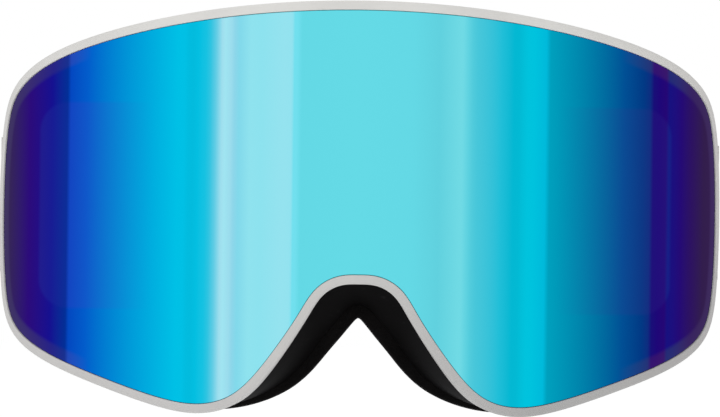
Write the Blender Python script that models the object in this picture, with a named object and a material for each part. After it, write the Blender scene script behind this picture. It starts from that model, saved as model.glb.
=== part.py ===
"""Ski goggles with a cylindrical mirrored lens that lifts out on magnets.

Lengths in this file are millimetres, and mesh_object() scales them to metres. +Z is up and the lens
faces -Y. The origin is the middle of the face opening, in the plane of the foam's rear edge at the
temples, so the goggles lie at negative Y and the head strap at positive Y.
"""

import math

import bmesh
import bpy
import numpy as np
from mathutils import Matrix, Vector

MM = 0.001

# The lens and everything clipped to it are bent round one upright cylinder.
LENS_RADIUS = 102.0
LENS_FRONT_Y = -78.0
CYLINDER_Y = LENS_FRONT_Y + LENS_RADIUS

# Right half of each closed outline, seen from the front as (x, z), from the brow to the nose bridge.
RIM_OUTLINE = [
    (0, 51.3), (27, 50.0), (50, 46.6), (68, 42.0), (79.8, 36.9), (86.9, 30.6), (89.9, 22.5),
    (91.2, 3), (90.7, -19), (88.6, -30.2), (81.5, -37.8), (65, -44.9), (50, -49.7), (39.2, -51.2),
    (29.7, -48.4), (20.8, -39.4), (12.6, -27.4), (8.6, -21.5), (4.2, -19.1), (0, -18.8),
]
FOAM_OUTLINE = [
    (0, 48.6), (26, 47.4), (48, 44.2), (65, 39.8), (76, 35.0), (82, 28.6), (84.4, 20.5),
    (85, 3), (84.4, -18), (82, -28.4), (75.5, -36), (62, -43.4), (50, -48.0), (39.2, -50.4),
    (27.5, -49.4), (15.7, -44.1), (8.0, -36.0), (4.1, -31.3), (1.3, -27.9), (0, -27.0),
]
FACE_OPENING = [
    (0, 35.5), (24, 34.8), (44, 32.8), (58, 30.0), (68, 26.6), (73.6, 21.0), (76, 13.5),
    (76.6, 1), (75.8, -13), (73, -21.5), (67, -27.5), (57, -33.5), (47.5, -37.4), (38.5, -39.0),
    (29.5, -37.6), (22, -32.4), (14.6, -24.8), (9.6, -19.4), (4.6, -16.4), (0, -15.6),
]
STEPS = 2  # samples between two outline points

# Radii of the layers at the rim, counted from the cylinder's axis.
RIM_FRONT_R = 102.4
LEDGE_FRONT_R = 98.0
FRAME_REAR_R = 95.8
LENS_THICK = 1.2
INNER_LENS_R = 98.6
INNER_LENS_THICK = 0.8
CARRIER_R = (98.3, 100.5)
GASKET_R = (98.9, 100.5)
LAYER_GAP = 0.3

# Distances inwards from the rim outline, along the surface.
RIM_WIDTH = 2.6
LEDGE_INSET = 8.5
CARRIER_INSET = (3.2, 8.2)
GASKET_INSET = (8.6, 11.8)
INNER_LENS_INSET = 8.8

# Magnets sit in facing pockets of the frame's ledge and the lens carrier, on both halves.
MAGNET_SIZE = (8.0, 3.4, 1.0)
MAGNET_ROOM = 0.15
MAGNET_INSET = 5.6
MAGNET_POINTS = {"brow": 1, "temple": 7, "cheek": 11}
FRAME_MAGNET_R = 97.35
LENS_MAGNET_R = 98.95

# The foam follows the face: a wide arc round the brow and cheeks, pushed forward over the nose.
FACE_RADIUS = 116.0
BROW_Y = -38.0
NOSE_FORWARD = 10.0
NOSE_HALF_WIDTH = 17.0
NOSE_TOP_Z = -8.0
FOAM_THICK = 14.0
FOAM_LAYERS = {"foam_base": (13.7, 7.4), "foam_middle": (7.1, 2.4), "foam_face": (2.1, 0.0)}
FLANGE_THICK = 1.8
WALL_THICK = 2.2
FOAM_OVERHANG = 1.0

VENT_SIZE = (17.0, 8.0, 14.0)
TOP_VENTS_X = (-48, -24, 0, 24, 48)
CHEEK_VENTS_X = (42, 62)
VENT_FOAM_THICK = 1.5
VENT_FOAM_GAP = 0.9

# Each outrigger swivels on an upright pin behind the rim and carries the strap on its rear bar.
PIN_X = 88.6
PIN_Y = -12.0
PIN_R = 1.2
PIN_HALF = 17.6
PIN_HOLE_R = 1.35
KNUCKLE_R = 2.4
BARREL_HALF = 12.0
LUG_Z = (12.3, 17.0)
ARM_THICK = 2.2
ARM_LENGTH = 31.0
ARM_HALF = 24.0
SLOT_SPAN = (20.5, 27.0)
SLOT_HALF = 20.8
ARM_TURN = math.atan2(2.2, 29.0)

# The strap runs straight back from the outriggers, then round the back of the head.
STRAP_HALF = 20.0
STRAP_THICK = 1.6
STRAP_START = (88.6, 17.0)
STRAP_STRAIGHT_END = (84.3, 106.0)
STRAP_BACK = (26.0, 170.0)
STRAP_HANDLES = (40.0, 34.0)
FOLD_END_Y = 44.0
BAND_START_Y = 47.0
LAYER_PITCH = 1.9
FOLD_PITCH = 4.6
FOLD_BACKSET = 0.2
SLIDER_Y = 60.0
SLIDER_HALF = (8.0, 23.4)
SLIDER_DEPTH = (-3.0, 2.9)
SLIDER_BAR = 2.6
CENTRE_BAR_HALF = 1.5
CHANNEL_HALF = 1.1
GRIP_ROWS_Z = (-12.0, 0.0, 12.0)
GRIP_SIZE = (2.0, 0.5)
GRIP_START_Y = 112.0

COLOURS = {
    "rim_grey": ((0.68, 0.67, 0.65), 0.45, 0.0),
    "frame_black": ((0.02, 0.02, 0.021), 0.6, 0.0),
    "lens_mirror": ((0.05, 0.45, 0.72), 0.08, 1.0),
    "lens_clear": ((0.55, 0.42, 0.3), 0.05, 0.0),
    "gasket_foam": ((0.03, 0.03, 0.032), 0.9, 0.0),
    "carrier_black": ((0.03, 0.03, 0.032), 0.5, 0.0),
    "magnet_steel": ((0.7, 0.7, 0.72), 0.25, 1.0),
    "foam_black": ((0.012, 0.012, 0.012), 0.95, 0.0),
    "foam_grey": ((0.06, 0.06, 0.065), 0.95, 0.0),
    "fleece_black": ((0.015, 0.015, 0.015), 1.0, 0.0),
    "outrigger_black": ((0.02, 0.02, 0.021), 0.4, 0.0),
    "pin_steel": ((0.6, 0.6, 0.62), 0.3, 1.0),
    "strap_webbing": ((0.04, 0.04, 0.045), 0.9, 0.0),
    "grip_silicone": ((0.5, 0.5, 0.5), 0.35, 0.0),
}


# Curves and surfaces


def unrolled(outline):
    """Front-view points as (distance round the lens cylinder, z)."""
    return [(LENS_RADIUS * math.asin(x / LENS_RADIUS), z) for x, z in outline]


def mirrored(half):
    """The closed outline whose right half runs from the brow to the nose bridge."""
    return np.array(list(half) + [(-x, z) for x, z in reversed(half[1:-1])], float)


def knots_of(points):
    """Centripetal spacing of a closed outline's points, with the closing one."""
    gaps = np.linalg.norm(np.roll(points, -1, axis=0) - points, axis=1) ** 0.5
    return np.concatenate([[0.0], np.cumsum(gaps)])


KNOTS = knots_of(mirrored(unrolled(RIM_OUTLINE)))


def closed_spline(half, steps=STEPS):
    """Smooth closed curve through a mirrored half outline, sampled steps times in each span."""
    points = mirrored(half)
    count = len(points)
    width = np.diff(KNOTS)
    slope = (np.roll(points, -1, axis=0) - points) / width[:, None]
    system = np.zeros((count, count))
    for i in range(count):
        system[i, i - 1] = width[i - 1]
        system[i, i] = 2 * (width[i - 1] + width[i])
        system[i, (i + 1) % count] = width[i]
    bend = np.linalg.solve(system, 6 * (slope - np.roll(slope, 1, axis=0)))
    after, bend_after = np.roll(points, -1, axis=0), np.roll(bend, -1, axis=0)
    samples = []
    for i in range(count):
        for part in np.arange(steps) / steps:
            a, b = 1 - part, part
            samples.append(
                a * points[i] + b * after[i]
                + ((a**3 - a) * bend[i] + (b**3 - b) * bend_after[i]) * width[i] ** 2 / 6
            )
    return np.array(samples)


def inward_normals(loop):
    """Unit normals that point into a loop which runs clockwise."""
    along = np.roll(loop, -1, axis=0) - np.roll(loop, 1, axis=0)
    along /= np.linalg.norm(along, axis=1)[:, None]
    return np.stack([along[:, 1], -along[:, 0]], axis=1)


def inset(loop, distance):
    return loop + inward_normals(loop) * distance


def on_cylinder(loop, radius):
    """An unrolled loop laid round the lens cylinder at a radius."""
    angle = loop[:, 0] / LENS_RADIUS
    return np.stack([radius * np.sin(angle), CYLINDER_Y - radius * np.cos(angle), loop[:, 1]], axis=1)


def face_y(x, z):
    """Y of the foam's rear surface, where it meets the face."""
    arc = BROW_Y + FACE_RADIUS - np.sqrt(FACE_RADIUS**2 - x**2)
    below = np.clip((NOSE_TOP_Z - z) / 20.0, 0, 1)
    return arc - NOSE_FORWARD * np.exp(-((x / NOSE_HALF_WIDTH) ** 2)) * below * below * (3 - 2 * below)


def before_face(loop, distance):
    """A front-view loop laid parallel to the face, that far in front of it."""
    return np.stack([loop[:, 0], face_y(loop[:, 0], loop[:, 1]) - distance, loop[:, 1]], axis=1)


def strap_path(start_y, end_y, spacing=6.0):
    """Centreline of the strap on the +X side as (x, y), from start_y to end_y."""
    first, last = Vector(STRAP_STRAIGHT_END), Vector(STRAP_BACK)
    heading = (first - Vector(STRAP_START)).normalized()
    controls = first, first + heading * STRAP_HANDLES[0], last + Vector((STRAP_HANDLES[1], 0)), last
    points = []
    straight = min(end_y, first.y) - start_y
    if straight > 0:
        count = max(1, round(straight / spacing))
        points = [strap_point(start_y + straight * i / count) for i in range(count + 1)]
    if end_y > first.y:
        count = round(100 / spacing)
        for i in range(1, count + 1):
            part = i / count
            weights = (1 - part) ** 3, 3 * (1 - part) ** 2 * part, 3 * (1 - part) * part**2, part**3
            place = sum((c * w for c, w in zip(controls, weights)), Vector((0, 0)))
            if start_y <= place.y:
                points.append(place)
    return [tuple(p) for p in points]


def strap_point(y):
    """Point of the strap's straight run at y."""
    first, last = STRAP_START, STRAP_STRAIGHT_END
    return first[0] + (last[0] - first[0]) * (y - first[1]) / (last[1] - first[1]), y


def offset_path(path, distances):
    """A path moved sideways, to the outside of the head where the distance is positive."""
    path = np.array(path, float)
    along = np.gradient(path, axis=0)
    along /= np.linalg.norm(along, axis=1)[:, None]
    outwards = np.stack([along[:, 1], -along[:, 0]], axis=1)
    return path + outwards * np.reshape(distances, (-1, 1))


# Solids


def mesh_object(name, colour, points, faces, parent=None):
    """Makes a closed mesh object from millimetre points, with its faces turned outwards."""
    mesh = bpy.data.meshes.new(name)
    mesh.from_pydata([tuple(float(c) * MM for c in p) for p in points], [], faces)
    shaped = bmesh.new()
    shaped.from_mesh(mesh)
    bmesh.ops.remove_doubles(shaped, verts=shaped.verts, dist=1e-7)
    bmesh.ops.recalc_face_normals(shaped, faces=shaped.faces)
    shaped.to_mesh(mesh)
    shaped.free()
    mesh.shade_smooth()
    mesh.set_sharp_from_angle(angle=math.radians(35))
    obj = bpy.data.objects.new(name, mesh)
    bpy.context.scene.collection.objects.link(obj)
    if colour:
        mesh.materials.append(MATERIALS[colour])
    if parent:
        place_under(obj, parent)
    return obj


def place_under(obj, parent):
    """Puts an object's origin on its parent's place without moving its shape."""
    obj.parent = parent
    obj.data.transform(parent.matrix_world.inverted())


def ring(name, colour, section, parent=None):
    """A closed ring from the loops that run along its section's corners."""
    loops, count = len(section), len(section[0])
    faces = []
    for a, b in [(k, k + 1) for k in range(loops - 1)] + [(0, loops - 1)]:
        for i in range(count):
            j = (i + 1) % count
            first, second, third, fourth = a * count + i, a * count + j, b * count + j, b * count + i
            faces += [(first, second, third), (first, third, fourth)]
    return mesh_object(name, colour, np.concatenate(section), faces, parent)


def bar(name, colour, section, parent=None):
    """A bar with flat ends, from the lines that run along its section's corners."""
    lines, count = len(section), len(section[0])
    faces = [
        (a * count + i, a * count + i + 1, b * count + i + 1, b * count + i)
        for a, b in zip(range(lines), [*range(1, lines), 0])
        for i in range(count - 1)
    ]
    ends = [tuple(k * count + i for k in range(lines)) for i in (0, count - 1)]
    return mesh_object(name, colour, np.concatenate(section), faces + ends, parent)


def band(name, colour, path, half_width, middle_z=0.0, thick=STRAP_THICK, shift=0.0, parent=None):
    """A flat strap of rectangular section that follows a path of (x, y)."""
    inner = offset_path(path, np.full(len(path), shift - thick / 2))
    outer = offset_path(path, np.full(len(path), shift + thick / 2))
    low, high = middle_z - half_width, middle_z + half_width
    section = [
        np.column_stack([line, np.full(len(line), z)])
        for line, z in ((inner, low), (outer, low), (outer, high), (inner, high))
    ]
    return bar(name, colour, section, parent)


def lens_shell(name, colour, outline, front_r, thick, parent=None, strip=7.0):
    """A lens: its flat unrolled blank, cut into upright strips, thickened and bent round the cylinder."""
    blank = bmesh.new()
    blank.faces.new([blank.verts.new((u, z, 0)) for u, z in outline])
    reach = np.abs(outline[:, 0]).max()
    cuts = int(reach // strip)
    for k in range(-cuts, cuts + 1):
        everything = blank.verts[:] + blank.edges[:] + blank.faces[:]
        place = (k * strip, 0, 0)
        bmesh.ops.bisect_plane(blank, geom=everything, dist=1e-5, plane_co=place, plane_no=(1, 0, 0))
    made = bmesh.ops.extrude_face_region(blank, geom=blank.faces[:])
    for vertex in (g for g in made["geom"] if isinstance(g, bmesh.types.BMVert)):
        vertex.co.z = thick
    points = []
    for i, vertex in enumerate(blank.verts):
        vertex.index = i
        bent = on_cylinder(np.array([[vertex.co.x, vertex.co.y]]), front_r - vertex.co.z)
        points.append(bent[0])
    faces = [tuple(v.index for v in face.verts) for face in blank.faces]
    blank.free()
    return mesh_object(name, colour, points, faces, parent)


def box_points(size, matrix):
    """The eight corners of a box centred on the matrix."""
    ends = (-0.5, 0.5)
    corners = [Vector((x * size[0], y * size[1], z * size[2])) for x in ends for y in ends for z in ends]
    return [matrix @ corner for corner in corners]


BOX_FACES = [(0, 1, 3, 2), (4, 6, 7, 5), (0, 4, 5, 1), (2, 3, 7, 6), (0, 2, 6, 4), (1, 5, 7, 3)]


def boxes(name, colour, sizes_and_places, parent=None):
    """One object of separate boxes, each a size and a matrix."""
    points, faces = [], []
    for size, matrix in sizes_and_places:
        faces += [tuple(len(points) + k for k in face) for face in BOX_FACES]
        points += box_points(size, matrix)
    return mesh_object(name, colour, points, faces, parent)


def upright_cylinders(name, colour, radius, stretches, centre, parent=None, sides=20):
    """Cylinders along Z about one axis, for each (low, high) stretch."""
    points, faces = [], []
    for low, high in stretches:
        first = len(points)
        for z in (low, high):
            for k in range(sides):
                turn = math.tau * k / sides
                points.append((centre[0] + radius * math.cos(turn), centre[1] + radius * math.sin(turn), z))
        faces += [
            (first + k, first + (k + 1) % sides, first + sides + (k + 1) % sides, first + sides + k)
            for k in range(sides)
        ]
        faces += [tuple(range(first, first + sides)), tuple(range(first + sides, first + 2 * sides))]
    return mesh_object(name, colour, points, faces, parent)


def helper(obj):
    """Marks a cutter or a shape that another object absorbs."""
    obj.hide_render = True
    obj.display_type = "WIRE"
    return obj


def combine(obj, other, operation):
    modifier = obj.modifiers.new(other.name, "BOOLEAN")
    modifier.operation = operation
    modifier.object = helper(other)
    modifier.solver = "EXACT"


def make_material(name, colour, roughness, metallic):
    material = bpy.data.materials.new(name)
    material.use_nodes = True
    shader = material.node_tree.nodes["Principled BSDF"]
    shader.inputs["Base Color"].default_value = (*colour, 1)
    shader.inputs["Roughness"].default_value = roughness
    shader.inputs["Metallic"].default_value = metallic
    return material


def joint_empty(name, place):
    """An empty on a joint's axis, which the joint's pieces are parented to."""
    empty = bpy.data.objects.new(name, None)
    bpy.context.scene.collection.objects.link(empty)
    empty.location = Vector(place) * MM
    bpy.context.view_layer.update()
    return empty


# The goggles, piece by piece


def make_front_frame(rim):
    """Rigid rim with a ledge behind the lens, magnet pockets, and a pair of hinge lugs at each side."""
    section = [
        on_cylinder(rim, RIM_FRONT_R),
        on_cylinder(inset(rim, RIM_WIDTH), RIM_FRONT_R),
        on_cylinder(inset(rim, RIM_WIDTH), LEDGE_FRONT_R),
        on_cylinder(inset(rim, LEDGE_INSET), LEDGE_FRONT_R),
        on_cylinder(inset(rim, LEDGE_INSET), FRAME_REAR_R),
        on_cylinder(rim, FRAME_REAR_R),
    ]
    frame = ring("front_frame", "rim_grey", section)
    pocket = tuple(s + 2 * MAGNET_ROOM for s in MAGNET_SIZE)
    places = [(pocket, magnet_place(rim, k, s, FRAME_MAGNET_R + MAGNET_ROOM)) for k, s in magnet_stations()]
    combine(frame, boxes("frame_pockets", None, places), "DIFFERENCE")
    for side, sign in (("left", -1), ("right", 1)):
        lug_z = sum(LUG_Z) / 2
        lug_size = (2 * KNUCKLE_R, 10.0, LUG_Z[1] - LUG_Z[0])
        places = [(lug_size, Matrix.Translation((sign * PIN_X, PIN_Y - 5.0, z))) for z in (lug_z, -lug_z)]
        combine(frame, boxes(f"lug_arms_{side}", None, places), "UNION")
        stretches = [LUG_Z, (-LUG_Z[1], -LUG_Z[0])]
        centre = (sign * PIN_X, PIN_Y)
        combine(frame, upright_cylinders(f"lug_eyes_{side}", None, KNUCKLE_R, stretches, centre), "UNION")
        through = [(-PIN_HALF - 2, PIN_HALF + 2)]
        hole = upright_cylinders(f"lug_holes_{side}", None, PIN_HOLE_R, through, centre)
        combine(frame, hole, "DIFFERENCE")


def magnet_stations():
    """(outline point index, side) of each magnet pair."""
    return [(k, side) for k in MAGNET_POINTS.values() for side in (-1, 1)]


def magnet_place(rim, point, side, radius):
    """Matrix of a magnet: its length along the rim, its thickness along the cylinder's radius."""
    at = point * STEPS
    middle = inset(rim, MAGNET_INSET)[at]
    along = rim[at + 1] - rim[at - 1]
    angle = middle[0] / LENS_RADIUS
    outwards = Vector((math.sin(angle), -math.cos(angle), 0))
    sideways = Vector((math.cos(angle), math.sin(angle), 0))
    length = (sideways * along[0] + Vector((0, 0, along[1]))).normalized()
    place = outwards * radius + Vector((0, CYLINDER_Y, middle[1]))
    across = outwards.cross(length)
    matrix = Matrix((length, across, outwards)).transposed().to_4x4()
    matrix.translation = place
    return Matrix.Diagonal((side, 1, 1, 1)) @ matrix


def make_magnets(rim, prefix, radius, parent=None):
    for label, point in MAGNET_POINTS.items():
        for side, sign in (("left", -1), ("right", 1)):
            place = magnet_place(rim, point, sign, radius)
            boxes(f"{prefix}_{label}_{side}", "magnet_steel", [(MAGNET_SIZE, place)], parent)


def make_lens_unit(rim, parent):
    """Mirrored outer lens, carrier ring, seal and clear inner lens, which come off together."""
    outer_edge = inset(rim, RIM_WIDTH + LAYER_GAP)
    inner_edge = inset(rim, INNER_LENS_INSET)
    lens_shell("outer_lens", "lens_mirror", outer_edge, LENS_RADIUS, LENS_THICK, parent)
    lens_shell("inner_lens", "lens_clear", inner_edge, INNER_LENS_R, INNER_LENS_THICK, parent)
    for name, colour, insets, radii in (
        ("lens_carrier", "carrier_black", CARRIER_INSET, CARRIER_R),
        ("lens_gasket", "gasket_foam", GASKET_INSET, GASKET_R),
    ):
        corners = [(insets[0], radii[1]), (insets[1], radii[1]), (insets[1], radii[0]), (insets[0], radii[0])]
        piece = ring(name, colour, [on_cylinder(inset(rim, b), r) for b, r in corners], parent)
        if name == "lens_carrier":
            pocket = tuple(s + 2 * MAGNET_ROOM for s in MAGNET_SIZE)
            radius = LENS_MAGNET_R - MAGNET_ROOM
            places = [(pocket, magnet_place(rim, k, s, radius)) for k, s in magnet_stations()]
            combine(piece, boxes("carrier_pockets", None, places, parent), "DIFFERENCE")
    make_magnets(rim, "lens_magnet", LENS_MAGNET_R, parent)


def wall_loops(rim, foam, opening):
    """Corner loops of the rear frame's section: a wall from the rim to the foam, and the foam's flange."""
    front_r = FRAME_REAR_R - LAYER_GAP
    back = inset(foam, FOAM_OVERHANG + nose_share(foam)[:, None] * 2.0)
    return [
        on_cylinder(inset(rim, 0.2), front_r),
        before_face(back, FOAM_THICK),
        before_face(opening, FOAM_THICK),
        before_face(opening, FOAM_THICK + FLANGE_THICK),
        before_face(inset(back, WALL_THICK), FOAM_THICK + FLANGE_THICK),
        on_cylinder(inset(rim, 0.2 + WALL_THICK), front_r),
    ]


def nose_share(loop):
    """1 at the nose arch and 0 away from it."""
    return np.clip(1.3 - np.abs(loop[:, 0]) / 22.0, 0, 1) * (loop[:, 1] < 0)


def make_rear_frame(section):
    """Flexible rear frame that carries the foam, with vent windows through its brow and cheek walls."""
    frame = ring("rear_frame", "frame_black", section)
    middle = sum(section[k] for k in (0, 1, 4, 5)) / 4
    windows = [(x, 1) for x in TOP_VENTS_X] + [(s * x, -1) for x in CHEEK_VENTS_X for s in (-1, 1)]
    places = []
    for x, up in windows:
        near = [p for p in middle if p[2] * up > 0 and abs(p[0]) < 80]
        near.sort(key=lambda p: abs(p[0] - x))
        a, b = Vector(near[0]), Vector(near[1])
        part = (x - a.x) / (b.x - a.x)
        turn = math.atan2((b - a).y, (b - a).x) % math.pi
        places.append((VENT_SIZE, Matrix.Translation(a.lerp(b, part)) @ Matrix.Rotation(turn, 4, "Z")))
    combine(frame, boxes("vent_windows", None, places), "DIFFERENCE")


def make_vent_foams(section):
    """Thin foam strips behind the vent windows."""
    front, back = section[5], section[4]
    shift = np.insert(inward_normals(back[:, [0, 2]]), 1, 0, axis=1)
    count = len(front)
    stretches = {
        "vent_foam_brow": [i % count for i in range(-6, 7)],
        "vent_foam_cheek_right": list(range(20, 27)),
        "vent_foam_cheek_left": [count - i for i in range(26, 19, -1)],
    }
    for name, picked in stretches.items():
        lines = []
        near, far = VENT_FOAM_GAP, VENT_FOAM_GAP + VENT_FOAM_THICK
        for part, deep in ((0.14, near), (0.86, near), (0.86, far), (0.14, far)):
            line = front + (back - front) * part + shift * deep
            lines.append(line[picked])
        bar(name, "gasket_foam", lines)


def make_face_foam(foam, opening):
    """Three bonded foam layers, softest against the face."""
    colours = {"foam_base": "foam_black", "foam_middle": "foam_grey", "foam_face": "fleece_black"}
    for name, (front, back) in FOAM_LAYERS.items():
        corners = [(foam, front), (foam, back), (opening, back), (opening, front)]
        ring(name, colours[name], [before_face(loop, distance) for loop, distance in corners])


def make_outrigger(side, sign):
    """Swivelling arm: a barrel on the pin, a plate that widens backwards, and a slot for the strap."""
    pin = joint_empty(f"outrigger_{side}_axis", (sign * PIN_X, PIN_Y, 0))
    shape = [(0, BARREL_HALF), (4, BARREL_HALF), (15, ARM_HALF - 1), (18, ARM_HALF)]
    shape += [(ARM_LENGTH - 2, ARM_HALF), (ARM_LENGTH, ARM_HALF - 2)]
    shape += [(w, -z) for w, z in reversed(shape)]
    turned = Matrix.Translation((sign * PIN_X, PIN_Y, 0)) @ Matrix.Rotation(sign * ARM_TURN, 4, "Z")
    half = ARM_THICK / 2
    points = [turned @ Vector((x, w, z)) for x in (-half, half) for w, z in shape]
    count = len(shape)
    faces = [tuple(range(count)), tuple(range(count, 2 * count))]
    faces += [(k, (k + 1) % count, count + (k + 1) % count, count + k) for k in range(count)]
    arm = mesh_object(f"outrigger_{side}", "outrigger_black", points, faces, pin)
    centre = (sign * PIN_X, PIN_Y)
    barrel = upright_cylinders(f"barrel_{side}", None, KNUCKLE_R, [(-BARREL_HALF, BARREL_HALF)], centre, pin)
    combine(arm, barrel, "UNION")
    slot_length = SLOT_SPAN[1] - SLOT_SPAN[0]
    slot_place = turned @ Matrix.Translation((0, sum(SLOT_SPAN) / 2, 0))
    slot_size = (8, slot_length, 2 * SLOT_HALF)
    combine(arm, boxes(f"slot_{side}", None, [(slot_size, slot_place)], pin), "DIFFERENCE")
    through = [(-BARREL_HALF - 2, BARREL_HALF + 2)]
    hole = upright_cylinders(f"barrel_hole_{side}", None, PIN_HOLE_R, through, centre, pin)
    combine(arm, hole, "DIFFERENCE")
    upright_cylinders(f"hinge_pin_{side}", "pin_steel", PIN_R, [(-PIN_HALF, PIN_HALF)], centre)
    make_strap_fold(side, sign, pin)


def make_strap_fold(side, sign, parent):
    """The strap's end, folded round the outrigger's rear bar, as one bent band."""
    bar_front = PIN_Y + SLOT_SPAN[1]
    turn_centre_y = bar_front + FOLD_BACKSET
    radius = FOLD_PITCH / 2
    outer = [strap_point(y) for y in np.linspace(FOLD_END_Y, turn_centre_y, 6)]
    centre_x = outer[-1][0] - radius
    turn = [
        (centre_x + radius * math.cos(a), turn_centre_y - radius * math.sin(a))
        for a in np.linspace(0, math.pi, 9)[1:]
    ]
    inner = []
    for y in np.linspace(turn_centre_y, FOLD_END_Y, 6)[1:]:
        share = (y - turn_centre_y) / (FOLD_END_Y - turn_centre_y)
        eased = share * share * (3 - 2 * share)
        inner.append((strap_point(y)[0] - FOLD_PITCH + (FOLD_PITCH - LAYER_PITCH) * eased, y))
    path = [(sign * x, y) for x, y in outer + turn + inner]
    band(f"strap_fold_{side}", "strap_webbing", path, STRAP_HALF, parent=parent)


def make_strap():
    """The long band round the head, its inner tails, and rows of silicone on its inner face."""
    half = strap_path(BAND_START_Y, STRAP_BACK[1] + 1)
    whole = half + [(-x, y) for x, y in reversed(half)]
    band("strap_band", "strap_webbing", whole, STRAP_HALF)
    for side, sign in (("left", -1), ("right", 1)):
        end_y = SLIDER_Y - CENTRE_BAR_HALF - LAYER_GAP
        tail = [(sign * x, y) for x, y in strap_path(BAND_START_Y, end_y)]
        band(f"strap_tail_{side}", "strap_webbing", tail, STRAP_HALF, shift=-sign * LAYER_PITCH)
    half = strap_path(GRIP_START_Y, STRAP_BACK[1] + 1)
    whole = half + [(-x, y) for x, y in reversed(half)]
    inwards = -(STRAP_THICK / 2 + GRIP_SIZE[1] / 2 + 0.1)
    for row, z in enumerate(GRIP_ROWS_Z, 1):
        band(f"silicone_grip_{row}", "grip_silicone", whole, GRIP_SIZE[0] / 2, z, GRIP_SIZE[1], inwards)


def make_slider(side, sign):
    """Length adjuster: two outer bars over the strap and a centre bar under it, joined by end rails."""
    x, y = strap_point(SLIDER_Y)
    origin = joint_empty(f"slider_{side}_origin", (sign * x, y, 0))
    run = Vector(STRAP_STRAIGHT_END) - Vector(STRAP_START)
    lean = math.atan2(-run.x, run.y)
    place = Matrix.Translation((sign * x, y, 0)) @ Matrix.Rotation(sign * lean, 4, "Z")
    half_w, half_z = SLIDER_HALF

    def block(name, colour, w_span, n_span, z_half):
        middle = (sign * sum(n_span) / 2, sum(w_span) / 2, 0)
        size = (n_span[1] - n_span[0], w_span[1] - w_span[0], 2 * z_half)
        return boxes(name, colour, [(size, place @ Matrix.Translation(middle))], origin)

    slider = block(f"slider_{side}", "outrigger_black", (-half_w, half_w), SLIDER_DEPTH, half_z)
    window = half_w - SLIDER_BAR
    cuts = {
        "channel": ((-half_w - 1, half_w + 1), (-CHANNEL_HALF, CHANNEL_HALF)),
        "window": ((-window, window), (0, SLIDER_DEPTH[1] + 1)),
        "under_front": ((-half_w - 1, -CENTRE_BAR_HALF), (SLIDER_DEPTH[0] - 1, 0)),
        "under_back": ((CENTRE_BAR_HALF, half_w + 1), (SLIDER_DEPTH[0] - 1, 0)),
    }
    for label, (w_span, n_span) in cuts.items():
        combine(slider, block(f"slider_{label}_{side}", None, w_span, n_span, STRAP_HALF + 0.6), "DIFFERENCE")


for old in list(bpy.data.objects):
    bpy.data.objects.remove(old)
MATERIALS = {name: make_material(name, *look) for name, look in COLOURS.items()}

rim_loop = closed_spline(unrolled(RIM_OUTLINE))
foam_loop = closed_spline(FOAM_OUTLINE)
opening_loop = closed_spline(FACE_OPENING)
rear_section = wall_loops(rim_loop, foam_loop, opening_loop)

make_front_frame(rim_loop)
make_magnets(rim_loop, "frame_magnet", FRAME_MAGNET_R)
make_rear_frame(rear_section)
make_vent_foams(rear_section)
make_face_foam(foam_loop, opening_loop)
make_lens_unit(rim_loop, joint_empty("lens_slide_origin", (0, LENS_FRONT_Y, 0)))
for side_name, side_sign in (("left", -1), ("right", 1)):
    make_outrigger(side_name, side_sign)
    make_slider(side_name, side_sign)
make_strap()
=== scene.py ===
import math

import bmesh
import bpy
import numpy as np
from mathutils import Matrix, Vector


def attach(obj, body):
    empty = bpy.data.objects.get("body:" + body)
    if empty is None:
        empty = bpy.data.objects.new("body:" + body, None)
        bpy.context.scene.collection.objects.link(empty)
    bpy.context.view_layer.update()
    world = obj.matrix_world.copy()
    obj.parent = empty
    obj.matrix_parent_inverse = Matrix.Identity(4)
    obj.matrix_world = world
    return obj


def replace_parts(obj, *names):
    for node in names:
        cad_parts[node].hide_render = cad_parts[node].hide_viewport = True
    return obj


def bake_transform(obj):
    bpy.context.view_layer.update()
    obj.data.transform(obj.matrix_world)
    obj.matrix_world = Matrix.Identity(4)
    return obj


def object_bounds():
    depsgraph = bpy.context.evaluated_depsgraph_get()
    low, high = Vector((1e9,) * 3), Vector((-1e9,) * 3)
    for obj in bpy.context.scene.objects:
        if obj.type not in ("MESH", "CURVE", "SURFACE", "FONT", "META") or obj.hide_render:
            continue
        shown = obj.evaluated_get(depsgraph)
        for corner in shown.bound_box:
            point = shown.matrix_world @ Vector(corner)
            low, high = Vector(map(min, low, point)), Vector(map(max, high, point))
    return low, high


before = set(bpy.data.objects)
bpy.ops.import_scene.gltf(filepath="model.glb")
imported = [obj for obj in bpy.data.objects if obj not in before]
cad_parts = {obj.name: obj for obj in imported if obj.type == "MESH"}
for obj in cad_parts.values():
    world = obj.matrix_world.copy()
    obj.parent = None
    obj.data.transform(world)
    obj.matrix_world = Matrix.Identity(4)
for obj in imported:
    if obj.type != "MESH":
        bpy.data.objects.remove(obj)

cadLow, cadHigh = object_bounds()
print("goggles: frame loaded")

# Shapes are in millimetres until addPiece() turns them into metres; looks and tree inputs are in metres.

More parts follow.
